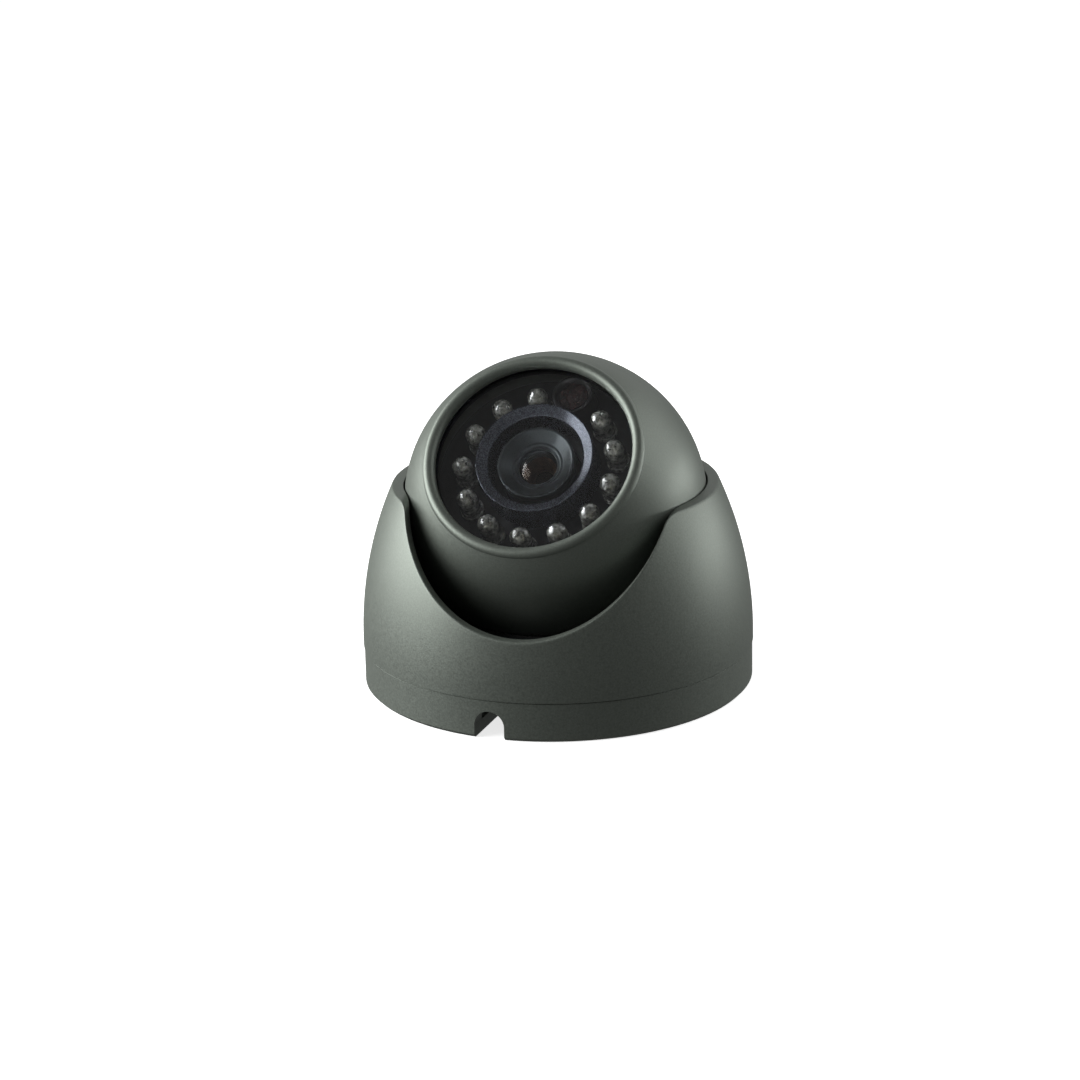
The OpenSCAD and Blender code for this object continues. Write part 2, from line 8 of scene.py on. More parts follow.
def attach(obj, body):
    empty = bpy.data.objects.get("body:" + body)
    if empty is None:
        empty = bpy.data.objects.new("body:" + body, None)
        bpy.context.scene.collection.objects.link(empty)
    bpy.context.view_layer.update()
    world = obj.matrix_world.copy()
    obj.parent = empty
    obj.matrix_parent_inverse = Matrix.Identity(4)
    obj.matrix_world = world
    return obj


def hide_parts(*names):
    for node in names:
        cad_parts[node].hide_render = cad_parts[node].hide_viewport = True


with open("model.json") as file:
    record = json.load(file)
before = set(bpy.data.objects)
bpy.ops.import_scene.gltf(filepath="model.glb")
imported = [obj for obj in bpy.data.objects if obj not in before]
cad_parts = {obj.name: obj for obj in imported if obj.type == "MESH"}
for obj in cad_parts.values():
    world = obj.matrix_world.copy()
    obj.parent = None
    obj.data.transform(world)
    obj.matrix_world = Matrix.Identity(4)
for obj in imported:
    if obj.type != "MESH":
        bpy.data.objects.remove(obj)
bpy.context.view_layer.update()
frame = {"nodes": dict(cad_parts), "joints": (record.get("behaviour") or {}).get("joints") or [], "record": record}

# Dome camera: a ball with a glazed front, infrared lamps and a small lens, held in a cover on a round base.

MM = 0.001
nodes = frame["nodes"]
joints = {joint["name"]: joint for joint in frame["joints"]}

# The ball's own frame: Z along the lens axis, X to the ball's right side, Y up its face
pivot = Vector(joints["tilt"]["pos_m"])
lens_axis = Vector(joints["roll"]["axis"]).normalized()
ball_side = -Vector(joints["tilt"]["axis"]).normalized()
ball_up = lens_axis.cross(ball_side)
BALL = Matrix.Translation(pivot) @ Matrix((ball_side, ball_up, lens_axis)).transposed().to_4x4()
WORLD = Matrix.Identity(4)


def extent(node, place=BALL):
    """Lowest and highest corner of a CAD node along the axes of a frame, in millimetres."""
    back = place.inverted()
    points = [back @ v.co / MM for v in nodes[node].data.vertices]
    low = Vector([min(p[i] for p in points) for i in range(3)])
    high = Vector([max(p[i] for p in points) for i in range(3)])
    return low, high


def round_node(node):
    """Centre, radius, lowest z and highest z of a round CAD node in the ball's frame, in millimetres."""
    low, high = extent(node)
    return ((low.x + high.x) / 2, (low.y + high.y) / 2), (high.x - low.x) / 2, low.z, high.z


# ---- Mesh helpers, in millimetres ----

def piece(name, verts, faces, place=WORLD, sharp=40):
    """A smooth-shaded mesh object from points in the frame `place`; edges over `sharp` degrees are sharp."""
    mesh = bpy.data.meshes.new(name)
    mesh.from_pydata([place @ (Vector(v) * MM) for v in verts], [], faces)
    mesh.validate()
    mesh.polygons.foreach_set("use_smooth", [True] * len(mesh.polygons))
    mesh.set_sharp_from_angle(angle=math.radians(sharp))
    obj = bpy.data.objects.new(name, mesh)
    bpy.context.scene.collection.objects.link(obj)
    return obj


def weigh(obj):
    """Weighs a piece's normals by area, so that flats look flat beside their roundings."""
    modifier = obj.modifiers.new("weighted normals", "WEIGHTED_NORMAL")
    modifier.keep_sharp = True
    return obj


def bend(p, corner, q, steps):
    """Points of a round corner from p to q that is pulled towards the corner."""
    p, corner, q = Vector(p), Vector(corner), Vector(q)
    shares = [i / steps for i in range(steps + 1)]
    return [p * (1 - t) ** 2 + corner * 2 * t * (1 - t) + q * t * t for t in shares]


def rounded(points, closed=True, steps=5):
    """A profile of (r, z, rounding) corners as (r, z) points; the ends of an open one stay sharp."""
    out = []
    count = len(points)
    for i, (r, z, rounding) in enumerate(points):
        here = Vector((r, z))
        if rounding <= 0 or (not closed and i in (0, count - 1)):
            out.append(here)
            continue
        before = Vector(points[i - 1][:2])
        after = Vector(points[(i + 1) % count][:2])
        back, ahead = before - here, after - here
        reach_back = min(rounding, back.length * 0.49)
        reach_ahead = min(rounding, ahead.length * 0.49)
        start = here + back.normalized() * reach_back
        end = here + ahead.normalized() * reach_ahead
        out += bend(start, here, end, steps)
    return out


def lathe(name, profile, place=BALL, centre=(0, 0), segments=96, closed=True, steps=5, sharp=40):
    """A body of revolution about an upright axis through centre; an open profile starts and ends on it."""
    points = rounded(profile, closed, steps)
    verts, faces, rows = [], [], []
    for r, z in points:
        if r < 1e-6:
            rows.append([len(verts)] * segments)
            verts.append((centre[0], centre[1], z))
            continue
        rows.append([len(verts) + k for k in range(segments)])
        for k in range(segments):
            a = 2 * math.pi * k / segments
            verts.append((centre[0] + r * math.cos(a), centre[1] + r * math.sin(a), z))
    pairs = list(zip(rows, rows[1:]))
    if closed:
        pairs.append((rows[-1], rows[0]))
    for lower, upper in pairs:
        for k in range(segments):
            n = (k + 1) % segments
            loop = [lower[k], lower[n], upper[n], upper[k]]
            face = [v for i, v in enumerate(loop) if v != loop[i - 1]]
            if len(set(face)) > 2:
                faces.append(face)
    return weigh(piece(name, verts, faces, place, sharp))


def skin(rows, length, closed=False):
    """Faces between rows of points that each go once round; a closed skin joins its last row to its first."""
    faces = []
    for row in range(rows if closed else rows - 1):
        here, ahead = row * length, (row + 1) % rows * length
        for k in range(length):
            side = (k + 1) % length
            faces.append([here + k, here + side, ahead + side, ahead + k])
    return faces


def prism(outline, z0, z1):
    """Vertices and faces of a straight prism over an outline of (x, y) points."""
    count = len(outline)
    verts = [(x, y, z0) for x, y in outline] + [(x, y, z1) for x, y in outline]
    return verts, skin(2, count) + [list(range(count))[::-1], list(range(count, 2 * count))]


def block(x0, x1, half_width, z0, z1):
    """Vertices and faces of a block that lies evenly about y = 0."""
    return prism([(x0, -half_width), (x1, -half_width), (x1, half_width), (x0, half_width)], z0, z1)


def merged(parts):
    """One vertex and face list from several."""
    verts, faces = [], []
    for part_verts, part_faces in parts:
        start = len(verts)
        verts += [tuple(v) for v in part_verts]
        faces += [[start + i for i in face] for face in part_faces]
    return verts, faces


def moved(part, matrix):
    """The same vertices and faces in another place."""
    return [matrix @ Vector(v) for v in part[0]], part[1]


def circle(r, count):
    """Points of a circle about the origin."""
    angles = [2 * math.pi * i / count for i in range(count)]
    return [(r * math.cos(a), r * math.sin(a)) for a in angles]


def carve(obj, cutters, sharp):
    """Cuts the cutters out of a piece and removes them."""
    for cutter in cutters:
        modifier = obj.modifiers.new("carve", "BOOLEAN")
        modifier.object = cutter
        modifier.operation = "DIFFERENCE"
        modifier.solver = "EXACT"
    graph = bpy.context.evaluated_depsgraph_get()
    mesh = bpy.data.meshes.new_from_object(obj.evaluated_get(graph))
    obj.modifiers.clear()
    obj.data = mesh
    mesh.polygons.foreach_set("use_smooth", [True] * len(mesh.polygons))
    mesh.set_sharp_from_angle(angle=math.radians(sharp))
    for cutter in cutters:
        bpy.data.objects.remove(cutter)


# A direction that no wire runs along
NEVER_ALONG = Vector((0.31, 0.95, 0.05))


def tube(path, r, sides=8):
    """Vertices and faces of a thin round wire along a path."""
    verts = []
    path = [Vector(p) for p in path]
    last = len(path) - 1
    for i, point in enumerate(path):
        along = (path[min(i + 1, last)] - path[max(i - 1, 0)]).normalized()
        side = along.cross(NEVER_ALONG).normalized()
        up = along.cross(side)
        for k in range(sides):
            a = 2 * math.pi * k / sides
            verts.append(point + side * (r * math.cos(a)) + up * (r * math.sin(a)))
    ends = [list(range(sides))[::-1], [last * sides + k for k in range(sides)]]
    return verts, skin(len(path), sides) + ends


# ---- Materials ----

# The noise values between which a material's colour and roughness change
NOISE_LOW, NOISE_HIGH = 0.3, 0.7


def ramp(tree, low, high):
    """A colour ramp node between two (position, colour) stops."""
    made = tree.nodes.new("ShaderNodeValToRGB")
    for i, (position, colour) in enumerate((low, high)):
        made.color_ramp.elements[i].position = position
        made.color_ramp.elements[i].color = colour
    return made


def material(name, colour, metallic=0.0, roughness=0.5, grain=0.3, tint=0.12, rough_swing=0.06, depth=0.0,
             stretch=(1, 1, 1), speck=None, **sockets):
    """A procedural material.

    grain is the size of its detail and depth the height of its relief, in mm. tint and rough_swing say how
    far its colour and roughness change. speck is the size and brightness of its flakes.
    """
    made = bpy.data.materials.new(name)
    made.use_nodes = True
    tree = made.node_tree
    shader = tree.nodes["Principled BSDF"]
    link = tree.links.new
    where = tree.nodes.new("ShaderNodeTexCoord")
    scaling = tree.nodes.new("ShaderNodeMapping")
    scaling.inputs["Scale"].default_value = [s / (grain * MM) for s in stretch]
    link(where.outputs["Object"], scaling.inputs["Vector"])
    noise = tree.nodes.new("ShaderNodeTexNoise")
    noise.inputs["Scale"].default_value = 1.0
    noise.inputs["Detail"].default_value = 3.0
    link(scaling.outputs["Vector"], noise.inputs["Vector"])
    darker = [c * (1 - tint) for c in colour] + [1]
    lighter = [min(1, c * (1 + tint)) for c in colour] + [1]
    shade = ramp(tree, (NOISE_LOW, darker), (NOISE_HIGH, lighter))
    link(noise.outputs["Fac"], shade.inputs["Fac"])
    colour_out = shade.outputs["Color"]
    if speck:
        cells = tree.nodes.new("ShaderNodeTexVoronoi")
        cells.inputs["Scale"].default_value = 1.0
        link(scaling.outputs["Vector"], cells.inputs["Vector"])
        flake_size, flake_brightness = speck
        flake = ramp(tree, (0.0, (1, 1, 1, 1)), (flake_size, (0, 0, 0, 1)))
        link(cells.outputs["Distance"], flake.inputs["Fac"])
        mix = tree.nodes.new("ShaderNodeMix")
        mix.data_type = "RGBA"
        link(flake.outputs["Color"], mix.inputs["Factor"])
        link(colour_out, mix.inputs["A"])
        mix.inputs["B"].default_value = [min(1, c * flake_brightness) for c in colour] + [1]
        colour_out = mix.outputs["Result"]
    link(colour_out, shader.inputs["Base Color"])
    swing = tree.nodes.new("ShaderNodeMapRange")
    swing.inputs["From Min"].default_value = NOISE_LOW
    swing.inputs["From Max"].default_value = NOISE_HIGH
    swing.inputs["To Min"].default_value = max(0.0, roughness - rough_swing)
    swing.inputs["To Max"].default_value = roughness + rough_swing
    link(noise.outputs["Fac"], swing.inputs["Value"])
    link(swing.outputs["Result"], shader.inputs["Roughness"])
    if depth:
        bump = tree.nodes.new("ShaderNodeBump")
        bump.inputs["Strength"].default_value = 1.0
        bump.inputs["Distance"].default_value = depth * MM
        link(noise.outputs["Fac"], bump.inputs["Height"])
        link(bump.outputs["Normal"], shader.inputs["Normal"])
    shader.inputs["Metallic"].default_value = metallic
    for socket, value in sockets.items():
        shader.inputs[socket.replace("_", " ")].default_value = value
    return made


PAINT = (0.158, 0.178, 0.156)
coarse_paint = {"grain": 0.45, "tint": 0.14, "depth": 0.012, "speck": (0.3, 1.35)}
FINISH = {
    "base_paint": material("base paint", PAINT, 0.7, 0.50, **coarse_paint),
    "cover_paint": material("cover paint", PAINT, 0.7, 0.50, **coarse_paint),
    "ball_paint": material("ball paint", PAINT, 0.7, 0.49, grain=0.40, tint=0.10, depth=0.008,
                           speck=(0.3, 1.25)),
    "seal_rubber": material("seal rubber", (0.018, 0.018, 0.018), 0, 0.7, grain=0.5, depth=0.01),
    "clamp_plastic": material("clamp plastic", (0.02, 0.02, 0.021), 0, 0.5, grain=0.4, depth=0.008),
    "liner_plastic": material("liner plastic", (0.03, 0.03, 0.03), 0, 0.4, grain=0.6, depth=0.005),
    "screw_steel": material("plated steel", (0.55, 0.55, 0.57), 1.0, 0.3, grain=0.15, depth=0.002,
                            stretch=(1, 1, 0.2)),
    "window_glass": material("window glass", (0.93, 0.95, 0.96), 0, 0.0, grain=30, tint=0.01, rough_swing=0,
                             Transmission_Weight=1.0, IOR=1.49),
    "black_aluminium": material("black aluminium", (0.02, 0.02, 0.022), 0.6, 0.4, grain=0.3, depth=0.003),
    "lens_black": material("lens aluminium", (0.050, 0.058, 0.062), 0.55, 0.33, grain=0.2, depth=0.002,
                           stretch=(1, 1, 0.3)),
    "lamp_board": material("black solder mask", (0.008, 0.010, 0.011), 0, 0.35, grain=0.8, depth=0.01),
    "lamp_epoxy": material("clear epoxy", (0.66, 0.59, 0.47), 0, 0.06, grain=1.0, tint=0.9, rough_swing=0.05,
                           depth=0.20, Transmission_Weight=0.62, IOR=1.52),
    "sensor_red": material("sensor resin", (0.026, 0.010, 0.009), 0, 0.25, grain=2.0, tint=0.3, depth=0.003),
    "hood_plastic": material("hood plastic", (0.022, 0.022, 0.022), 0, 0.42, grain=0.3, depth=0.004),
    "shade_plastic": material("shade plastic", (0.095, 0.102, 0.125), 0.55, 0.27, grain=0.25, depth=0.003),
    "header_plastic": material("header nylon", (0.62, 0.60, 0.52), 0, 0.5, grain=0.5, depth=0.004),
    "ribbon": material("ribbon cable", (0.32, 0.32, 0.33), 0, 0.5, grain=0.6, tint=0.25,
                       stretch=(1, 0.05, 0.05)),
    "brass": material("brass", (0.62, 0.46, 0.20), 1.0, 0.3, grain=0.2, depth=0.002, stretch=(1, 1, 0.2)),
    "plate_steel": material("plate steel", (0.48, 0.49, 0.50), 1.0, 0.35, grain=0.4, depth=0.003,
                            stretch=(0.1, 1, 1)),
    "circuit_board": material("green solder mask", (0.008, 0.085, 0.035), 0, 0.3, grain=0.7, tint=0.3,
                              depth=0.01),
    "image_sensor": material("sensor package", (0.035, 0.033, 0.055), 0.2, 0.12, grain=1.5, tint=0.4),
    "chip_plastic": material("chip epoxy", (0.022, 0.022, 0.023), 0, 0.55, grain=0.2, depth=0.006),
    "capacitor_can": material("capacitor sleeve", (0.022, 0.025, 0.07), 0, 0.3, grain=0.8, depth=0.003),
    "holder_plastic": material("holder plastic", (0.014, 0.014, 0.015), 0, 0.5, grain=0.3, depth=0.006),
    "filter_glass": material("filter glass", (0.75, 0.35, 0.40), 0, 0.02, grain=4, tint=0.05,
                             rough_swing=0.01, Transmission_Weight=1.0, IOR=1.5),
    "lens_glass": material("coated lens glass", (0.56, 0.50, 0.43), 0, 0.03, grain=3, tint=0.05,
                           rough_swing=0.01, Transmission_Weight=1.0, IOR=1.25,
                           Specular_Tint=(0.9, 0.65, 0.5, 1)),
    # The last two are looks of visible details only, and no slot in the record has their names
    # Painted reflection: the bore's brown stands in for the brown reflection seen in the lens
    "painted_reflection_brown": material("bore painted brown as lens reflection", (0.26, 0.18, 0.13), 0, 0.6, grain=1.5,
                       Specular_IOR_Level=0.25),
    "silver": material("silvered lamp frame", (0.80, 0.73, 0.60), 0.3, 0.25, grain=0.7, tint=0.4,
                       depth=0.02),
}
slot_of = {part["node"]: part["material_slot"] for part in frame["record"]["subparts"]}


def finish_piece(obj, body, node, *more_nodes, slot=None):
    """Gives a piece the finish of its node or slot and its body, and hides the CAD nodes that it stands for."""
    name = slot or slot_of[node]
    obj.data.materials.clear()
    obj.data.materials.append(FINISH[name])
    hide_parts(node, *more_nodes)
    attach(obj, body)


for node_name, obj in nodes.items():
    obj.data.materials.clear()
    obj.data.materials.append(FINISH[slot_of[node_name]])

# ---- Cover ----

cover_low, cover_high = extent("dome_cover", WORLD)
COVER_R = cover_high.x
SKIRT_Z, RIM_Z = cover_low.z, cover_high.z
BALL_Z = pivot.z / MM
# The outside bulges on an arc of this radius, whose centre is at SIDE_X, SIDE_Z
SIDE_R = 90.3
SIDE_Z = 11.5
SIDE_X = COVER_R - SIDE_R
WALL = 2.6
# The round seat for the ball, and the bore over the base's spigot with the ledge at its top
SEAT_R = 36.55
BORE_R = 44.0
LEDGE_Z = 14.0
# The front cut: the circle of its lower edge, and the radius that rolls it into the rim
CUT_R, CUT_Z = 32.0, 56.0
ROLL_R = 2.5
OUTER_ROUND, INNER_ROUND, SKIRT_ROUND, BORE_ROUND = 0.6, 0.5, 0.12, 0.3
# Points along the two rolls and the lower edge, along the rim behind, and down the wall
ROLL_STEPS, LOW_STEPS, BACK_STEPS, WALL_STEPS = 12, 120, 190, 26
COVER_SHARP = 50
SCREW_TURNS = (50, 130)
SCREW_PLAY = 0.05


def outer_r(z):
    """Radius of the outside at a height; upright below the arc's centre."""
    return SIDE_X + math.sqrt(SIDE_R ** 2 - max(0.0, z - SIDE_Z) ** 2)


def inner_r(z):
    """Radius of the inside at a height: the wall's or, higher up, the ball seat's."""
    side = SIDE_X + math.sqrt((SIDE_R - WALL) ** 2 - (z - SIDE_Z) ** 2)
    seat = math.sqrt(SEAT_R ** 2 - (z - BALL_Z) ** 2) if z > BALL_Z else 0.0
    return max(side, seat)


def around(r, turn, z):
    """A point at a distance from the dome's upright axis: turn is the angle from the front, towards +X."""
    return Vector((r * math.sin(turn), -r * math.cos(turn), z))


def on_wall(radius, turn, z):
    """A point on a wall whose radius depends on the height."""
    return around(radius(z), turn, z)


def wall_normal(radius, turn, z):
    """The outward direction of a wall at a point."""
    step = 0.01
    slope = (radius(z + step) - radius(z - step)) / (2 * step)
    return Vector((math.sin(turn), -math.cos(turn), -slope)).normalized()


def cut_outline():
    """Front view of the cut's edge from left to right, as (x, z)."""
    roll_z = RIM_Z - ROLL_R
    roll_x = math.sqrt((CUT_R + ROLL_R) ** 2 - (CUT_Z - roll_z) ** 2)
    lean = math.atan2(CUT_Z - roll_z, roll_x)
    left = [(-roll_x + ROLL_R * math.cos(a), roll_z + ROLL_R * math.sin(a))
            for a in [math.pi / 2 + (lean - math.pi / 2) * i / ROLL_STEPS for i in range(ROLL_STEPS)]]
    low = [(CUT_R * math.cos(a), CUT_Z + CUT_R * math.sin(a))
           for a in [math.pi + lean + (math.pi - 2 * lean) * i / LOW_STEPS for i in range(LOW_STEPS + 1)]]
    right = [(-x, z) for x, z in reversed(left)]
    return left + low + right


def edge_line():
    """The cover's upper edge, once round: the turns of its outside and its inside, and its height."""
    edges = [(math.asin(x / outer_r(z)), math.asin(x / inner_r(z)), z) for x, z in cut_outline()]
    outer_start, inner_start, _ = edges[-1]
    for i in range(1, BACK_STEPS):
        t = i / BACK_STEPS
        edges.append((outer_start + (2 * math.pi - 2 * outer_start) * t,
                      inner_start + (2 * math.pi - 2 * inner_start) * t, RIM_Z))
    return edges


def build_cover():
    """The cover: columns of points down its outside and up its inside, and the set screws' holes."""
    edges = edge_line()
    count = len(edges)
    outer_edge = [on_wall(outer_r, turn, z) for turn, _, z in edges]
    inner_edge = [on_wall(inner_r, turn, z) for _, turn, z in edges]
    columns = []
    for i in range(count):
        turn_o, turn_i, z = edges[i]
        across = (inner_edge[i] - outer_edge[i]).normalized()
        along_o = (outer_edge[(i + 1) % count] - outer_edge[i - 1]).normalized()
        along_i = (inner_edge[(i + 1) % count] - inner_edge[i - 1]).normalized()
        down_o = along_o.cross(wall_normal(outer_r, turn_o, z)).normalized()
        down_i = along_i.cross(wall_normal(inner_r, turn_i, z)).normalized()
        start_o = outer_edge[i] + down_o * OUTER_ROUND
        start_i = inner_edge[i] + down_i * INNER_ROUND
        foot_o = math.atan2(start_o.x, -start_o.y)
        foot_i = math.atan2(start_i.x, -start_i.y)
        start_o = on_wall(outer_r, foot_o, start_o.z)
        start_i = on_wall(inner_r, foot_i, start_i.z)
        column = []
        low_z = SKIRT_Z + SKIRT_ROUND
        for k in range(WALL_STEPS):
            column.append(on_wall(outer_r, foot_o, start_o.z + (low_z - start_o.z) * k / WALL_STEPS))
        column += bend(around(COVER_R, foot_o, low_z), around(COVER_R, foot_o, SKIRT_Z),
                       around(COVER_R - SKIRT_ROUND, foot_o, SKIRT_Z), 4)
        column += bend(around(BORE_R + BORE_ROUND, foot_i, SKIRT_Z), around(BORE_R, foot_i, SKIRT_Z),
                       around(BORE_R, foot_i, SKIRT_Z + BORE_ROUND), 3)
        column.append(around(BORE_R, foot_i, LEDGE_Z))
        for k in range(WALL_STEPS):
            column.append(on_wall(inner_r, foot_i, LEDGE_Z + (start_i.z - LEDGE_Z) * k / WALL_STEPS))
        column += bend(start_i, inner_edge[i], inner_edge[i] - across * INNER_ROUND, 4)
        low_cut, high_cut = inner_edge[i] - across * INNER_ROUND, outer_edge[i] + across * OUTER_ROUND
        column += [low_cut.lerp(high_cut, 1 / 3), low_cut.lerp(high_cut, 2 / 3)]
        column += bend(high_cut, outer_edge[i], start_o, 5)[:-1]
        columns.append(column)
    verts = [point for column in columns for point in column]
    faces = skin(count, len(columns[0]), closed=True)
    made = piece("cover", verts, faces, sharp=COVER_SHARP)
    screw_low, screw_high = extent("lock_screws", WORLD)
    screw_z = (screw_low.z + screw_high.z) / 2
    hole_r = (screw_high.z - screw_low.z) / 2 + SCREW_PLAY
    cutters = []
    for degrees in SCREW_TURNS:
        place = Matrix.Rotation(math.radians(degrees), 4, "Z") @ Matrix.Translation((0, 0, screw_z))
        place = place @ Matrix.Rotation(math.pi / 2, 4, "Y")
        through_wall = prism(circle(hole_r, 40), BORE_R - 3, COVER_R + 1)
        cutters.append(piece("hole", *moved(through_wall, place)))
    carve(made, cutters, COVER_SHARP)
    return made


POST_TURNS = (-15, 55, 125, 195)
POST_FROM_AXIS = 39.5
POST_R, POST_LOW, POST_HIGH = 3.2, 19, 33
RIB_LENGTH, RIB_HALF, RIB_HIGH = 4.8, 1.5, 30


def build_posts():
    """The four screw posts inside the cover with the ribs that join them to its wall."""
    parts = []
    for degrees in POST_TURNS:
        place = Matrix.Rotation(math.radians(degrees), 4, "Z") @ Matrix.Translation((POST_FROM_AXIS, 0, 0))
        parts.append(moved(prism(circle(POST_R, 40), POST_LOW, POST_HIGH), place))
        parts.append(moved(block(0, RIB_LENGTH, RIB_HALF, POST_LOW, RIB_HIGH), place))
    return piece("cover_posts", *merged(parts))


cover = build_cover()
posts = build_posts()
finish_piece(weigh(cover), "cover", "dome_cover")
finish_piece(posts, "cover", "dome_cover")

# ---- Lamps ----

LAMP_COUNT = 12
# The dome is narrower than the flange by this much, and the flange is this thick
DOME_INSET, FLANGE = 0.4, 1.0
# Metal inside a lamp. Z is from the lamp's foot, and X points away from the lens axis
FOOT_Z, SHELF_LOW, SHELF_HIGH = 0.3, 3.3, 3.9
CUP_X = -0.2
CUP_SECTION = [(1.7, 3.9), (1.7, 4.9), (1.55, 4.9), (0.7, 4.05), (0.0, 4.05)]
CUP_SIDES = 24
WIRE_R = 0.05
WIRE_PATH = [(CUP_X, 0, 4.15), (0.2, 0, 4.7), (0.8, 0, 4.85), (1.5, 0, 4.4)]


def lamp_metal():
    """The leads, shelf, reflector cup, wire and die of a lamp."""
    anvil = block(-1.7, 0.9, 0.8, FOOT_Z, SHELF_LOW)
    shelf = block(-1.9, 1.0, 1.1, SHELF_LOW, SHELF_HIGH)
    post = block(1.15, 1.85, 0.45, FOOT_Z, 4.4)
    cup_verts = []
    for r, z in CUP_SECTION:
        cup_verts += [(x + CUP_X, y, z) for x, y in circle(r, CUP_SIDES)]
    cup = cup_verts, skin(len(CUP_SECTION), CUP_SIDES)
    die = block(-0.4, 0, 0.2, 4.0, 4.15)
    return [anvil, shelf, post, cup, tube(WIRE_PATH, WIRE_R), die]


def build_lamp(number):
    """One infrared lamp: its clear body and the metal inside it."""
    node = f"ir_led_{number:02d}"
    centre, flange_r, foot, top = round_node(node)
    body_r = flange_r - DOME_INSET
    dome = [(body_r * math.sin(a), top - body_r + body_r * math.cos(a), 0)
            for a in [math.pi / 2 * i / 14 for i in range(1, 15)]]
    skirt = [(body_r + 0.02, foot + FLANGE, 0.15), (flange_r, foot + FLANGE, 0.15), (flange_r, foot, 0.1)]
    profile = [(0, top, 0)] + dome + skirt + [(0, foot, 0)]
    body = lathe(f"lamp_{number:02d}_body", profile, centre=centre, segments=40, closed=False, steps=3)
    finish_piece(body, "ball", node)
    turn = math.atan2(centre[1], centre[0])
    place = Matrix.Translation((centre[0], centre[1], foot)) @ Matrix.Rotation(turn, 4, "Z")
    verts, faces = merged([moved(part, place) for part in lamp_metal()])
    metal = piece(f"lamp_{number:02d}_frame", verts, faces, BALL)
    finish_piece(metal, "ball", node, slot="screw_steel")
    metal.data.materials[0] = FINISH["silver"]


for number in range(1, LAMP_COUNT + 1):
    build_lamp(number)

# ---- Shade, hood and lens ----

SHADE_HOLE_R, SHADE_BEVEL = 11.5, 1.25
shade_centre, shade_r, shade_foot, shade_top = round_node("lens_shade")
shade = lathe("shade", [
    (SHADE_HOLE_R, shade_foot, 0), (SHADE_HOLE_R, shade_top - SHADE_BEVEL, 0.3),
    (shade_r - 0.3, shade_top, 0.1), (shade_r, shade_top, 0.12), (shade_r, shade_foot, 0),
], centre=shade_centre, segments=128)
finish_piece(shade, "ball", "lens_shade")

HOOD_HOLE_R, HOOD_LIP_R, HOOD_BEVEL = 3.7, 4.3, 0.8
hood_centre, hood_r, hood_foot, hood_top = round_node("sensor_hood")
hood = lathe("sensor_hood_ring", [
    (HOOD_HOLE_R, hood_foot, 0), (HOOD_HOLE_R, hood_top - HOOD_BEVEL, 0.2), (HOOD_LIP_R, hood_top, 0.15),
    (hood_r, hood_top, 0.2), (hood_r, hood_foot, 0),
], centre=hood_centre, segments=64)
finish_piece(hood, "ball", "sensor_hood")

_, head_r, lens_foot, lens_top = round_node("lens_barrel")
# The cup in the barrel's head, and the seat of the front glass below the cup's floor
cup_z = lens_top - 2.3
GLASS_R, GLASS_DEPTH = 4.6, 1.6
seat_z = cup_z - GLASS_DEPTH
SEAT_HOLE_R, SEAT_WALL_R = 4.2, 4.62
# The bore behind the glass, and the wider socket at the barrel's foot
LENS_BORE_R, SOCKET_R, SOCKET_DEPTH = 2.8, 3.42, 1.6
# The thread's radius, the height of the head's underside, and the depth of the groove round the head
THREAD_R, HEAD_LOW, GROOVE = 6, 14, 0.25
barrel = lathe("lens_barrel_body", [
    (LENS_BORE_R, lens_foot + SOCKET_DEPTH, 0), (LENS_BORE_R, cup_z - 6.0, 0.2), (SEAT_HOLE_R, seat_z, 0.1),
    (SEAT_WALL_R, seat_z, 0), (SEAT_WALL_R, cup_z, 0.12), (5.3, cup_z + 0.05, 0.15), (5.5, cup_z + 0.4, 0.2),
    (6.1, cup_z + 0.4, 0.15), (head_r - 0.6, lens_top, 0.15), (head_r, lens_top, 0.25),
    (head_r, lens_top - 2.0, 0.1), (head_r - GROOVE, lens_top - 2.2, 0.1),
    (head_r - GROOVE, lens_top - 2.7, 0.1), (head_r, lens_top - 2.9, 0.1), (head_r, HEAD_LOW, 0.3),
    (THREAD_R, HEAD_LOW, 0), (THREAD_R, lens_foot, 0.2), (SOCKET_R, lens_foot, 0),
    (SOCKET_R, lens_foot + SOCKET_DEPTH, 0),
], segments=128)
finish_piece(barrel, "lens", "lens_barrel")

# The front glass bulges on an arc and stands above the cup's floor in its middle
BULGE_R, BULGE_RISE, BULGE_STEPS = 8.6, 0.75, 16
bulge_top = cup_z + BULGE_RISE
bulge = [(BULGE_R * math.sin(a), bulge_top - BULGE_R * (1 - math.cos(a)), 0)
         for a in [math.asin(GLASS_R / BULGE_R) * i / BULGE_STEPS for i in range(1, BULGE_STEPS + 1)]]
front = lathe("lens_front", [(0, bulge_top, 0)] + bulge + [(GLASS_R, seat_z, 0), (0, seat_z, 0)],
              closed=False, segments=96)
finish_piece(front, "lens", "lens_front_element")

# The bore between the socket and the glass is painted brown, a painted reflection that stands in for the brown
# reflection seen in the lens
barrel.data.materials.append(FINISH["painted_reflection_brown"])
into_ball = BALL.inverted()
for face in barrel.data.polygons:
    centre = into_ball @ face.center / MM
    if lens_foot + 2 < centre.z < seat_z - 0.1 and math.hypot(centre.x, centre.y) < SEAT_HOLE_R + 0.1:
        face.material_index = 1

# ---- Stage, light and camera, in metres ----

TARGET = Vector((0, 0, 0.04))


def outward(azimuth, elevation):
    """The direction of a place round the object. Azimuth 0 is in front and 90 is towards +X, in degrees."""
    a, e = math.radians(azimuth), math.radians(elevation)
    return Vector((math.sin(a) * math.cos(e), -math.cos(a) * math.cos(e), math.sin(e)))


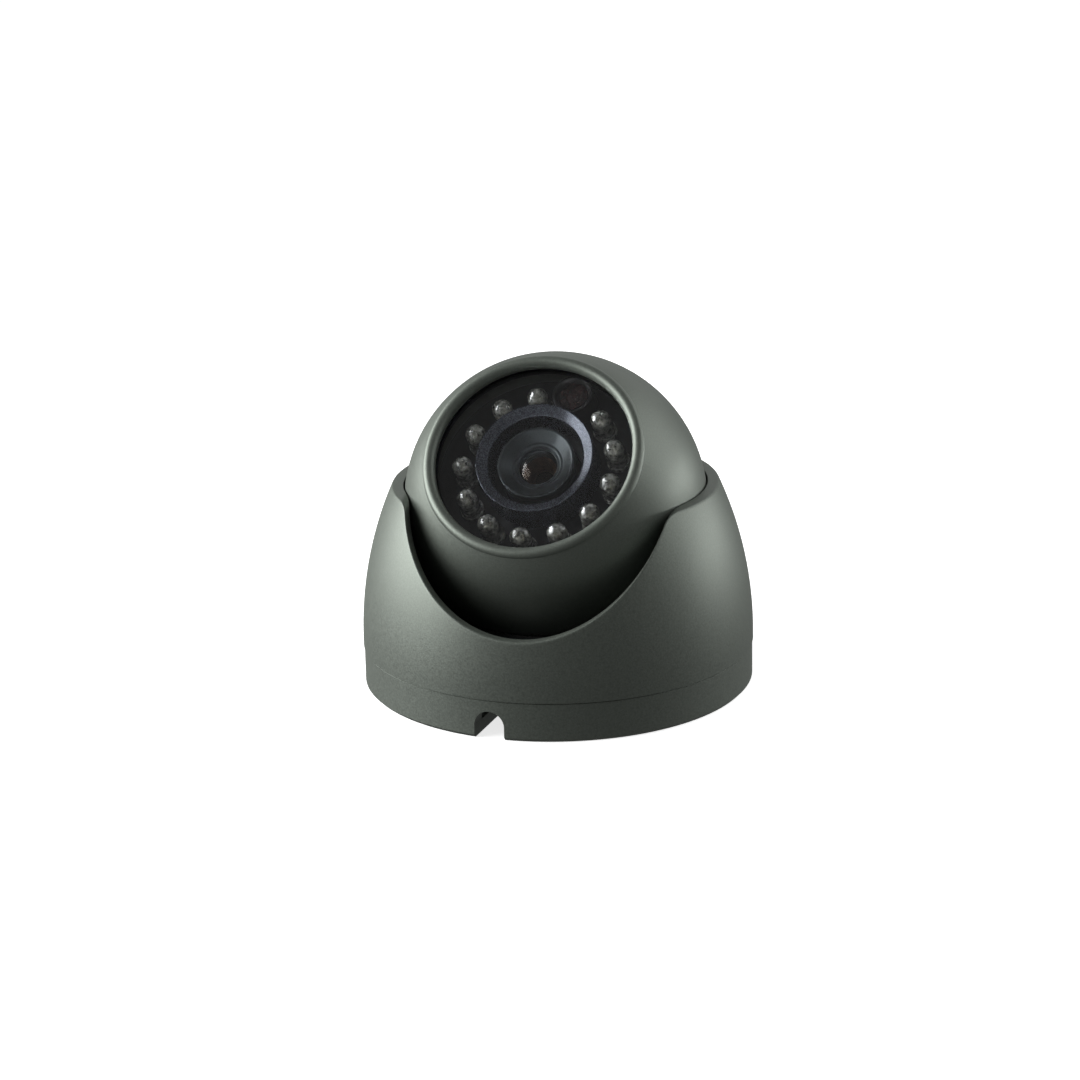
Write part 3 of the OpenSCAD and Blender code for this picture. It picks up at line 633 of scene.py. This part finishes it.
def area_light(name, azimuth, elevation, distance, width, height, power):
    """A soft panel that faces the target and that the camera doesn't see."""
    place = TARGET + outward(azimuth, elevation) * distance
    light = bpy.data.lights.new(name, "AREA")
    light.shape = "RECTANGLE"
    light.size = width
    light.size_y = height
    light.energy = power
    obj = bpy.data.objects.new(name, light)
    bpy.context.scene.collection.objects.link(obj)
    obj.location = place
    obj.rotation_euler = (TARGET - place).to_track_quat("-Z", "Y").to_euler()
    obj.visible_camera = False


# Name, azimuth and elevation in degrees, distance, width, height, and power in watts
LIGHTS = [
    ("left softbox", -82, 20, 0.8, 0.95, 0.65, 13.4),
    ("right softbox", 112, 32, 0.9, 1.0, 0.55, 3.1),
    ("low right panel", 120, 3, 0.6, 0.35, 0.06, 0.9),
    ("back softbox", 178, 32, 0.9, 0.8, 0.8, 1.0),
]
for row in LIGHTS:
    area_light(*row)

WORLD_STRENGTH = 0.15
studio = bpy.data.worlds.new("studio")
bpy.context.scene.world = studio
studio.use_nodes = True
studio.node_tree.nodes["Background"].inputs["Color"].default_value = (1, 1, 1, 1)
studio.node_tree.nodes["Background"].inputs["Strength"].default_value = WORLD_STRENGTH

# The floor glows to look as pale as the photo's background, and shows in no gloss and lights no surface
FLOOR_SIZE = 60
bpy.ops.mesh.primitive_plane_add(size=FLOOR_SIZE)
floor = bpy.context.object
floor.name = "floor"
floor_paint = material("floor", (0.9, 0.9, 0.9), 0, 0.8, grain=5, tint=0.003, rough_swing=0.02,
                       Emission_Color=(1, 1, 1, 1), Emission_Strength=0.75)
floor.data.materials.append(floor_paint)
floor.visible_glossy = False
floor.visible_diffuse = False

CAMERA_AZIMUTH, CAMERA_ELEVATION, CAMERA_LEAN = 12.0, 17.32, 1.09
CAMERA_DISTANCE = 0.8
camera_data = bpy.data.cameras.new("camera")
camera = bpy.data.objects.new("camera", camera_data)
bpy.context.scene.collection.objects.link(camera)
to_camera = outward(CAMERA_AZIMUTH, CAMERA_ELEVATION)
aim = (-to_camera).to_track_quat("-Z", "Y").to_matrix().to_4x4()
upright = Matrix.Translation(TARGET + to_camera * CAMERA_DISTANCE) @ aim
camera.matrix_world = upright @ Matrix.Rotation(-math.radians(CAMERA_LEAN), 4, "Z")
camera_data.sensor_width = 36
camera_data.lens = 111.53
camera_data.shift_x = -0.01496
camera_data.shift_y = -0.02244
bpy.context.scene.camera = camera
bpy.context.scene.view_settings.view_transform = "Standard"
